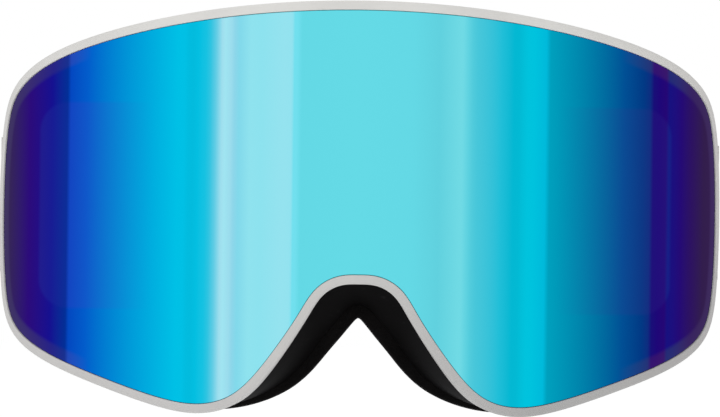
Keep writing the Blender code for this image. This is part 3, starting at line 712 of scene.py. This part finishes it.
def rearSection():
    # Corner loops from the rim's back to the foam's front and back again; there is more overhang at the nose.
    s = rearShape
    radius = rimShape["rearR"] - s["frontGap"]
    start = rimShape["draft"] + s["step"]
    nose = np.clip(1.3 - np.abs(foamLoop[:, 0]) / s["noseWidth"], 0, 1) * (foamLoop[:, 1] < 0)
    back = inset(foamLoop, s["overhang"] + nose[:, None] * s["noseOverhang"])
    flange = s["foamThick"] + s["flange"]
    return [onCylinder(inset(rimLoop, start), radius), beforeFace(back, s["foamThick"]),
            beforeFace(openingLoop, s["foamThick"]), beforeFace(openingLoop, flange),
            beforeFace(inset(back, s["wall"]), flange), onCylinder(inset(rimLoop, start + s["wall"]), radius)]


def ventCutters(section):
    # A slot across the wall at each place, turned to run along the wall there.
    s = rearShape
    wall = sum(section[k] for k in (0, 1, 4, 5)) / 4
    places = [(x, 1) for x in s["topVents"]] + [(m * x, -1) for x in s["cheekVents"] for m in (-1, 1)]
    cutters = []
    for x, up in places:
        near = [p for p in wall if p[2] * up > 0 and abs(p[0]) < 80]
        near.sort(key=lambda p: abs(p[0] - x))
        a, b = Vector(near[0]), Vector(near[3])
        turn = math.atan2((b - a).y, (b - a).x)
        turn = (turn + math.pi / 2) % math.pi - math.pi / 2
        place = Matrix.Translation((x, a.y, a.z)) @ Matrix.Rotation(turn, 4, "Z")
        cutters.append(softenEdges(boxPiece(f"vent{x}{up}", s["ventSize"], place), s["ventRound"], 4))
    return cutters


rearLoops = rearSection()
rearFrame = ringPiece("rearFrame", roundLoops(rearLoops, rearShape["rounds"], 3), [paints["rubber"]])
carve(rearFrame, ventCutters(rearLoops))
rearFrame.data.shade_smooth()
rearFrame.data.set_sharp_from_angle(angle=math.radians(40))
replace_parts(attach(rearFrame, "frame"), "rear_frame")
print("goggles: rear frame made")


# Face foam, in three bonded layers

foamLayers = {
    "foamBase": {"span": (13.7, 7.4), "node": "foam_base", "paint": "foamBlack", "slot": "foam_black",
                 "rounds": (0.5, 0.6), "bulge": 0.35},
    "foamMiddle": {"span": (7.1, 2.4), "node": "foam_middle", "paint": "foamGrey", "slot": "foam_grey",
                   "rounds": (0.6, 0.6), "bulge": 0.45},
    "foamFace": {"span": (2.1, 0.0), "node": "foam_face", "paint": "fleece", "slot": "fleece_black",
                 "rounds": (0.5, 1.6), "bulge": 0.2},
}
foamShape = {"crown": 0.35, "sideRound": 0.8}


def foamPiece(name, layer):
    # Each loop of the section has its distance from the face and the rounding of its corner.
    (front, back), (frontRound, backRound) = layer["span"], layer["rounds"]
    half, bulge, sideRound = (front + back) / 2, layer["bulge"], foamShape["sideRound"]

    def between(t):
        return foamLoop * (1 - t) + openingLoop * t

    plan = [(foamLoop, front, frontRound), (inset(foamLoop, -bulge), half, sideRound),
            (foamLoop, back, backRound)]
    plan += [(between(t), back - foamShape["crown"] * math.sin(t * math.pi), 0) for t in (0.25, 0.5, 0.75)]
    plan += [(openingLoop, back, backRound), (inset(openingLoop, bulge), half, sideRound),
             (openingLoop, front, frontRound)]
    plan += [(between(t), front, 0) for t in (0.67, 0.33)]
    section = [beforeFace(loop, distance) for loop, distance, _ in plan]
    rounded = roundLoops(section, [r for _, _, r in plan], 4)
    piece = ringPiece(name, rounded, [paints[layer["paint"]]], sharp=60)
    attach(piece, "frame")
    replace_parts(piece, layer["node"])


for layerName, layerLook in foamLayers.items():
    foamPiece(layerName, layerLook)
print("goggles: face foam made")


# Strap

strapShape = {"half": 20.0, "thick": 1.6, "start": (88.6, 17.0), "straightEnd": (84.3, 106.0),
              "back": (26.0, 170.0), "backSteps": (20, 13, 6.5), "handles": (40.0, 34.0), "joinY": 50.0,
              "layerPitch": 1.9, "foldPitch": 4.6, "turnY": 15.2, "foldMetY": 44.0, "returnEnd": 58.2,
              "across": 16, "selvedge": (0.4, 2.74), "ripple": 0.12, "rippleTurns": (0.21, 0.13)}


def strapPoint(y):
    a, b = strapShape["start"], strapShape["straightEnd"]
    return a[0] + (b[0] - a[0]) * (y - a[1]) / (b[1] - a[1]), y


def backCurve(steps=90):
    s = strapShape
    first, last = Vector(s["straightEnd"]), Vector(s["back"])
    heading = (first - Vector(s["start"])).normalized()
    controls = first, first + heading * s["handles"][0], last + Vector((s["handles"][1], 0)), last
    points = []
    for i in range(1, steps + 1):
        t = i / steps
        weights = (1 - t) ** 3, 3 * (1 - t) ** 2 * t, 3 * (1 - t) * t**2, t**3
        points.append(tuple(sum((c * w for c, w in zip(controls, weights)), Vector((0, 0)))))
    return points


def roundHead(startY):
    # The strap's centreline from one side, round the back, to the other.
    s = strapShape
    half = [strapPoint(y) for y in np.arange(startY, s["straightEnd"][1], 2.0)]
    half += [s["straightEnd"]] + backCurve() + [(x, s["back"][1]) for x in s["backSteps"]]
    return half + [(0.0, s["back"][1])] + [(-x, y) for x, y in reversed(half)]


def sideways(path):
    path = np.array(path, float)
    along = np.gradient(path, axis=0)
    along /= np.linalg.norm(along, axis=1)[:, None]
    return path, np.stack([along[:, 1], -along[:, 0]], axis=1)


def strapSection():
    # Half the thickness and the height of each point round the webbing, with rounded selvedges.
    s = strapShape
    r = s["thick"] / 2
    flat = s["half"] - r
    across, bends = np.linspace(-flat, flat, s["across"]), np.linspace(*s["selvedge"], 4)
    section = [(r, z) for z in across] + [(r * math.cos(a), flat + r * math.sin(a)) for a in bends]
    section += [(-r, z) for z in across[::-1]]
    return section + [(-r * math.cos(a), -flat - r * math.sin(a)) for a in bends]


def strapStrip(name, path, shift=0.0, ripple=0.0):
    # Webbing along a path, with faint cross ripples and with UV in metres.
    s, section = strapShape, strapSection()
    path, normal = sideways(path)
    run = np.concatenate([[0.0], np.cumsum(np.linalg.norm(np.diff(path, axis=0), axis=1))])
    lines = []
    for n, z in section:
        wave = np.sin(run * s["rippleTurns"][0] + z * s["rippleTurns"][1])
        swell = ripple * wave * (1 - (z / s["half"]) ** 2) * 0.5
        spread = path + normal * (shift + n + swell)[:, None]
        lines.append(np.column_stack([spread, np.full(len(path), z)]))
    piece = ringPiece(name, lines, [paints["strap"]], closed=False)
    mesh, count = piece.data, len(path)
    uv = mesh.uv_layers.new(name="weave")
    for loop in mesh.loops:
        row, at = divmod(loop.vertex_index, count)
        uv.data[loop.index].uv = (run[at] * 0.001, section[row][1] * 0.001)
    return piece


def foldPath(sign):
    # Forwards along the outer layer, round the arm's bar, and back until the layers meet.
    s = strapShape
    outer = [strapPoint(y) for y in np.linspace(s["joinY"], s["turnY"], 22)]
    radius = s["foldPitch"] / 2
    centreX = outer[-1][0] - radius
    turn = [(centreX + radius * math.cos(a), s["turnY"] - radius * math.sin(a))
            for a in np.linspace(0, math.pi, 15)[1:]]
    inner = []
    for y in np.linspace(s["turnY"], s["joinY"], 22)[1:]:
        share = min(1.0, (y - s["turnY"]) / (s["foldMetY"] - s["turnY"]))
        eased = share * share * (3 - 2 * share)
        inner.append((strapPoint(y)[0] - s["foldPitch"] + (s["foldPitch"] - s["layerPitch"]) * eased, y))
    return [(sign * x, y) for x, y in outer + turn + inner]


def strapBlend(piece):
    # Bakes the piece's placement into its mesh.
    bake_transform(piece)


headPath = roundHead(strapShape["joinY"])
strapBand = strapStrip("strapBand", headPath, ripple=strapShape["ripple"])
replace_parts(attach(strapBand, "frame"), "strap_band")
for sideName, sideSign in sides:
    fold = strapStrip(f"strapFold_{sideName}", foldPath(sideSign))
    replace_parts(fold, f"strap_fold_{sideName}")
    strapBlend(fold)
    returnY = np.linspace(strapShape["joinY"], strapShape["returnEnd"], 12)
    tail = strapStrip(f"strapReturn_{sideName}", [(sideSign * x, y) for x, y in map(strapPoint, returnY)],
                      shift=-sideSign * strapShape["layerPitch"])
    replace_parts(tail, f"strap_tail_{sideName}")
    strapBlend(tail)
print("goggles: strap made")


# Node trees for the stitches and the grips


def newTree(name, inputs):
    # A tree with a geometry, a material and these lengths as its inputs, and with mesh as its output.
    tree = bpy.data.node_groups.new(name, "GeometryNodeTree")
    tree.interface.new_socket("Geometry", in_out="INPUT", socket_type="NodeSocketGeometry")
    tree.interface.new_socket("Geometry", in_out="OUTPUT", socket_type="NodeSocketGeometry")
    for label, value in inputs.items():
        socket = tree.interface.new_socket(label, in_out="INPUT", socket_type="NodeSocketFloat")
        socket.default_value = value
    tree.interface.new_socket("Material", in_out="INPUT", socket_type="NodeSocketMaterial")
    return NodeMaker(tree, "GeometryNode"), tree.nodes.new("NodeGroupInput").outputs


def finishTree(t, mesh, given):
    real = t.add("RealizeInstances", {"Geometry": mesh})
    painted = t.add("SetMaterial", {"Geometry": real, "Material": given["Material"]})
    t.feed(t.tree.nodes.new("NodeGroupOutput"), 0, painted)
    return t.tree


def threadOf(t, curve, radius, corners):
    profile = t.add("CurvePrimitiveCircle", {"Resolution": corners, "Radius": radius})
    return t.add("CurveToMesh", {"Curve": curve, "Profile Curve": profile, "Fill Caps": True})


def stitchTree():
    # Sunk stitches, one after another along a line.
    t, given = newTree("stitchRow", {"Spacing": 0.0026, "Length": 0.002, "Thread": 0.0003, "Jitter": 0.06})
    curve = t.add("MeshToCurve", {"Mesh": given["Geometry"]})
    spots = t.add("CurveToPoints", {"Curve": curve, "Length": given["Spacing"]}, mode="LENGTH").outputs
    half = t.math("MULTIPLY", given["Length"], 0.5)
    deep = t.math("MULTIPLY", given["Thread"], -0.9)
    first = t.add("ShaderNodeCombineXYZ", {"X": deep, "Z": t.math("MULTIPLY", half, -1.0)})
    top = t.add("ShaderNodeCombineXYZ", {"X": t.math("MULTIPLY", given["Thread"], 1.1)})
    last = t.add("ShaderNodeCombineXYZ", {"X": deep, "Z": half})
    arc = t.add("CurveQuadraticBezier", {"Resolution": 7, "Start": first, "Middle": top, "End": last})
    stitch = threadOf(t, arc, given["Thread"], 6)
    anyWay = t.add("FunctionNodeRandomValue", {"Min": (-1, -1, -1), "Max": (1, 1, 1), "Seed": 7},
                   data_type="FLOAT_VECTOR")
    tilt = t.add("FunctionNodeEulerToRotation", {0: t.scaled(anyWay, given["Jitter"])})
    turn = t.add("FunctionNodeRotateRotation", {"Rotation": spots["Rotation"], "Rotate By": tilt},
                 rotation_space="LOCAL")
    placed = t.add("InstanceOnPoints", {"Points": spots["Points"], "Instance": stitch, "Rotation": turn})
    return finishTree(t, placed, given)


def waveTree():
    # A bead that follows a line while it waves up and down.
    t, given = newTree("waveBead", {"Pitch": 0.008, "Swing": 0.0014, "Radius": 0.0009})
    curve = t.add("MeshToCurve", {"Mesh": given["Geometry"]})
    fine = t.add("ResampleCurve", {"Curve": curve, "Length": 0.0008}, mode="LENGTH")
    turns = t.math("DIVIDE", t.add("SplineParameter").outputs["Length"], given["Pitch"])
    sine = t.math("SINE", t.math("MULTIPLY", turns, math.tau))
    offset = t.add("ShaderNodeCombineXYZ", {"Z": t.math("MULTIPLY", sine, given["Swing"])})
    waved = t.add("SetPosition", {"Geometry": fine, "Offset": offset})
    return finishTree(t, threadOf(t, waved, given["Radius"], 8), given)


def growOnLine(name, line, tree, values):
    # Runs a tree on a line of points in millimetres, and returns the plain mesh piece it makes.
    mesh = bpy.data.meshes.new(name)
    mesh.from_pydata((np.array(line) * 0.001).tolist(), [(i, i + 1) for i in range(len(line) - 1)], [])
    piece = addObject(name, mesh)
    maker = piece.modifiers.new("maker", "NODES")
    maker.node_group = tree
    for item in tree.interface.items_tree:
        if item.in_out == "INPUT" and item.name in values:
            maker[item.identifier] = values[item.name]
    return freeze(piece, 50)


stitchRow, waveBead = stitchTree(), waveTree()


# Stitching and silicone grips

sewing = {"rowsY": (24.5, 27.5), "top": 18.4, "lift": 0.02,
          "thread": {"Spacing": 0.0027, "Length": 0.0021, "Thread": 0.00028, "Material": paints["thread"]}}
grips = {"rows": (-12.0, 0.0, 12.0), "startY": 112.0, "lift": 0.1,
         "bead": {"Pitch": 0.009, "Swing": 0.0016, "Radius": 0.0007, "Material": paints["silicone"]}}


def foldStitches(sign):
    rows = []
    for k, y in enumerate(sewing["rowsY"]):
        x = sign * (strapPoint(y)[0] + strapShape["thick"] / 2 + sewing["lift"])
        line = [(x, y, z) for z in np.linspace(-sewing["top"], sewing["top"], 9)]
        rows.append(growOnLine(f"row{k}", line, stitchRow, sewing["thread"]))
    return rows


def joinMeshes(name, pieces, material):
    # One plain mesh from several pieces, which are removed.
    points, faces = [], []
    for piece in pieces:
        start = len(points)
        points += [tuple(v.co * 1000) for v in piece.data.vertices]
        faces += [tuple(start + i for i in face.vertices) for face in piece.data.polygons]
        bpy.data.objects.remove(piece)
    return addPiece(name, points, faces, [material])


for sideName, sideSign in sides:
    stitches = joinMeshes(f"foldStitches_{sideName}", foldStitches(sideSign), paints["thread"])
    strapBlend(stitches)

gripPath, gripNormal = sideways([p for p in headPath if p[1] > grips["startY"]])
inner = gripPath - gripNormal * (strapShape["thick"] / 2 + grips["lift"])
for number, z in enumerate(grips["rows"], 1):
    bead = growOnLine(f"siliconeGrip_{number}", [(x, y, z) for x, y in inner], waveBead, grips["bead"])
    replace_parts(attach(bead, "frame"), f"silicone_grip_{number}")
print("goggles: stitches and grips made")


# Outriggers and strap sliders

armShape = {"thick": 2.2, "length": 31.0, "half": 24.0, "barrel": 12.0, "neck": (4.0, 15.0), "shoulder": 18.0,
            "slot": (20.5, 27.0), "slotHalf": 20.8, "slotRound": 0.9, "turn": math.atan2(2.2, 29.0),
            "edge": 0.35}
ribShape = {"count": 4, "first": 6.5, "pitch": 3.1, "half": 5.0, "growth": 3.6, "size": (0.9, 1.1),
            "edge": 0.25}
sliderShape = {"y": 60.0, "half": (8.0, 23.4), "depth": (-3.0, 2.9), "bar": 2.6, "centreHalf": 1.5,
               "channel": 1.1, "strapRoom": 20.6, "corner": 0.9, "edge": 0.35}


def armOutline():
    # Distance behind the pin and height: a narrow barrel, a neck that widens, and the slot's bars.
    s = armShape
    low, high = s["neck"]
    half = [(0, s["barrel"]), (low, s["barrel"])]
    for t in (k / 8 for k in range(1, 8)):
        rise = (s["half"] - 1 - s["barrel"]) * t * t * (3 - 2 * t)
        half.append((low + (high - low) * t, s["barrel"] + rise))
    half += [(high + 0.5, s["half"] - 0.6), (s["shoulder"], s["half"]), (s["length"] - 2, s["half"]),
             (s["length"] - 0.6, s["half"] - 0.7), (s["length"], s["half"] - 2)]
    return half + [(w, -z) for w, z in reversed(half)]


def armRibs(place, surface):
    ribs = []
    for k in range(ribShape["count"]):
        height = 2 * (ribShape["half"] + ribShape["growth"] * k)
        at = place @ Matrix.Translation((surface, ribShape["first"] + ribShape["pitch"] * k, 0))
        ribs.append(softenEdges(boxPiece(f"rib{k}", (*ribShape["size"], height), at), ribShape["edge"]))
    return ribs


def outriggerPiece(side, sign):
    s, outline = armShape, armOutline()
    centre = (sign * rimShape["pin"][0], rimShape["pin"][1])
    place = Matrix.Translation((*centre, 0)) @ Matrix.Rotation(sign * s["turn"], 4, "Z")
    half, count = s["thick"] / 2, len(outline)
    points = [tuple(place @ Vector((x, w, z))) for x in (-half, half) for w, z in outline]
    faces = [tuple(range(count)), tuple(range(count, 2 * count))]
    faces += [(k, (k + 1) % count, count + (k + 1) % count, count + k) for k in range(count)]
    arm = addPiece(f"outrigger_{side}_arm", points, faces, [paints["arm"]])
    carve(arm, [turnedPiece("armBarrel", rimShape["eyeR"], -s["barrel"], s["barrel"], centre)], "UNION")
    carve(arm, armRibs(place, sign * half), "UNION")
    slotPlace = place @ Matrix.Translation((0, sum(s["slot"]) / 2, 0))
    slotSize = (8, s["slot"][1] - s["slot"][0], 2 * s["slotHalf"])
    hole = turnedPiece("armHole", rimShape["holeR"], -s["barrel"] - 1, s["barrel"] + 1, centre)
    carve(arm, [softenEdges(boxPiece("armSlot", slotSize, slotPlace), s["slotRound"], 3), hole])
    softenEdges(arm, s["edge"])
    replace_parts(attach(arm, f"outrigger_{side}"), f"outrigger_{side}")


def sliderPiece(side, sign):
    s = sliderShape
    x, y = strapPoint(s["y"])
    run = Vector(strapShape["straightEnd"]) - Vector(strapShape["start"])
    place = Matrix.Translation((sign * x, y, 0)) @ Matrix.Rotation(sign * math.atan2(-run.x, run.y), 4, "Z")
    halfW, halfZ = s["half"]

    def block(name, wSpan, nSpan, zHalf, edge=0.0):
        middle = (sign * sum(nSpan) / 2, sum(wSpan) / 2, 0)
        made = boxPiece(name, (nSpan[1] - nSpan[0], wSpan[1] - wSpan[0], 2 * zHalf),
                        place @ Matrix.Translation(middle), [paints["arm"]])
        return softenEdges(made, edge, 3) if edge else made

    slider = block(f"slider_{side}_buckle", (-halfW, halfW), s["depth"], halfZ, s["corner"])
    window = halfW - s["bar"]
    cuts = {
        "channel": ((-halfW - 1, halfW + 1), (-s["channel"], s["channel"])),
        "window": ((-window, window), (0, s["depth"][1] + 1)),
        "underFront": ((-halfW - 1, -s["centreHalf"]), (s["depth"][0] - 1, 0)),
        "underBack": ((s["centreHalf"], halfW + 1), (s["depth"][0] - 1, 0)),
    }
    carve(slider, [block(label, *spans, s["strapRoom"]) for label, spans in cuts.items()])
    softenEdges(slider, s["edge"])
    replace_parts(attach(slider, f"slider_{side}"), f"slider_{side}")


for sideName, sideSign in sides:
    outriggerPiece(sideName, sideSign)
    sliderPiece(sideName, sideSign)
print("goggles: outriggers and sliders made")


# CAD pieces that stay, with their finish

cadPaints = {"frame_magnet": "magnet", "lens_magnet": "magnet", "hinge_pin": "pin", "vent_foam": "ventFoam"}
for nodeName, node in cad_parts.items():
    for start, paint in cadPaints.items():
        if nodeName.startswith(start):
            for slot in node.material_slots:
                slot.material = paints[paint]


# Camera, floor and light

studio = {"distance": 1800.0, "lens": 365.9, "sensor": 36.0, "roll": 0.7, "side": 0.12,
          "floorHalf": 4.0, "floorDrop": 60.0, "floorGlow": 0.36,
          "keySize": (1.6, 1.2), "keyPlace": (0.0, -0.7, 1.6), "keyPower": 9.0}

# Soft boxes stand round the goggles; places are degrees from the camera, positive to its right.
softBoxes = [
    (-180, 0.8), (-125, 0.6), (-94, (0.45, 0.48, 0.6)), (-93.2, (0.9, 0.95, 1.0)), (-60, 1.0), (-51.9, 1.0),
    (-51.4, 1.08), (-50.9, 1.0), (-50.4, 0.91), (-47, 1.0), (-42.6, (1.06, 1.05, 1.03)),
    (-39.3, (1.7, 1.3, 1.17)), (-36.8, (1.4, 1.1, 1.09)), (-18.2, (1.3, 1.07, 1.09)), (-17.7, 1.0),
    (15, 1.0), (22.5, (0.94, 0.93, 0.94)), (30.6, (1.4, 1.06, 1.02)), (31.2, (1.02, 0.98, 0.955)),
    (41, (1.2, 0.98, 0.93)), (44.4, (1.1, 0.9, 0.84)), (47.6, (1.0, 0.93, 0.85)), (48, (1.0, 1.03, 0.925)),
    (55.2, (1.0, 1.03, 0.925)), (55.7, (0.68, 0.77, 0.68)), (92.8, (0.6, 0.67, 0.43)),
    (93.3, (1.0, 0.15, 0.38)), (100.2, (0.72, 0.24, 0.42)), (100.7, (0.3, 0.65, 0.52)),
    (104.5, (0.35, 0.6, 0.56)), (112, (0.5, 0.32, 0.5)), (180, 0.8),
]
room = {
    "boxShare": 0.33, "boxLevel": 1.25, "away": (0.08, 0.3), "awayColour": (0.92, 0.92, 0.94),
    # From straight down at 0 to straight up at 1: brightest at eye level and at the box overhead.
    "levels": [(0.0, 0.3), (0.35, 0.55), (0.46, 0.8), (0.54, 0.8), (0.65, 0.45), (0.84, 0.35), (0.9, 0.9),
               (1.0, 0.95)],
    "light": 0.9, "lightByHeight": (0.45, 1.15), "lightBySide": (1.0, 0.5),
}


def setCamera():
    data = bpy.data.cameras.new("frontCamera")
    data.lens, data.sensor_width = studio["lens"], studio["sensor"]
    data.clip_end = 50.0
    camera = addObject("frontCamera", data)
    place = Matrix.Translation(Vector((studio["side"], lensShape["frontY"] - studio["distance"], 0)) * 0.001)
    roll = math.radians(studio["roll"])
    camera.matrix_world = place @ Matrix.Rotation(-roll, 4, "Y") @ Matrix.Rotation(math.pi / 2, 4, "X")
    bpy.context.scene.camera = camera


def setFloor():
    half, z = studio["floorHalf"], cadLow.z - studio["floorDrop"] * 0.001
    mesh = bpy.data.meshes.new("floor")
    corners = [(-half, -half, z), (half, -half, z), (half, half, z), (-half, half, z)]
    mesh.from_pydata(corners, [], [(0, 1, 2, 3)])
    floor = addObject("floor", mesh)
    p = Paint("paleFloor")
    colour = p.mix(p.noise(3.0), tone(0.9), tone(0.93))
    mesh.materials.append(p.set(Base_Color=colour, Roughness=0.9, Emission_Color=(1, 1, 1, 1),
                                Emission_Strength=studio["floorGlow"]))
    floor.visible_glossy = False


def boxLight(p, way):
    # What the glossy surfaces see: the boxes near eye level, a dim ceiling and one soft box above.
    share = room["boxShare"]  # keeps the ramp's colours below 1
    turn = p.math("ARCTAN2", way[0], p.math("MULTIPLY", way[1], -1.0))
    place = p.math("ADD", p.math("DIVIDE", turn, math.tau), 0.5)
    stops = [((angle + 180) / 360, colour) for angle, colour in softBoxes]
    boxes = p.scaled(p.ramp(place, stops, share=share), 1 / share)
    away = p.remap(p.math("ABSOLUTE", way[2]), *room["away"])
    colour = p.mix(away, boxes.outputs[0], tone(room["awayColour"]))
    level = p.ramp(p.math("ADD", p.math("MULTIPLY", way[2], 0.5), 0.5), room["levels"])
    return p.scaled(colour, p.math("MULTIPLY", level, room["boxLevel"])).outputs[0]


def setWorld():
    world = bpy.data.worlds.new("softStudio")
    world.use_nodes = True
    bpy.context.scene.world = world
    p = NodeMaker(world.node_tree)
    way = p.add("SeparateXYZ", {0: p.add("TexCoord").outputs["Generated"]}).outputs
    upper = p.remap(way[2], -1.0, 1.0, *room["lightByHeight"])
    fromSide = p.remap(way[0], -1.0, 1.0, *room["lightBySide"])
    soft = p.scaled(grey(room["light"]), p.math("MULTIPLY", upper, fromSide))
    path = p.add("LightPath").outputs
    lit = p.mix(path["Is Glossy Ray"], soft.outputs[0], boxLight(p, way))
    seen = p.mix(path["Is Camera Ray"], lit, (1, 1, 1, 1))
    p.feed(world.node_tree.nodes["Background"], "Color", seen)


def setKeyLight():
    data = bpy.data.lights.new("overheadSoftBox", "AREA")
    data.shape, data.energy = "RECTANGLE", studio["keyPower"]
    data.size, data.size_y = studio["keySize"]
    light = addObject("overheadSoftBox", data)
    light.location = studio["keyPlace"]
    light.rotation_euler = (Vector((0, 0, 0)) - light.location).to_track_quat("-Z", "Y").to_euler()
    light.visible_glossy = False


setCamera()
setFloor()
setWorld()
setKeyLight()
bpy.context.scene.view_settings.view_transform = "Standard"

print("goggles: scene ready")
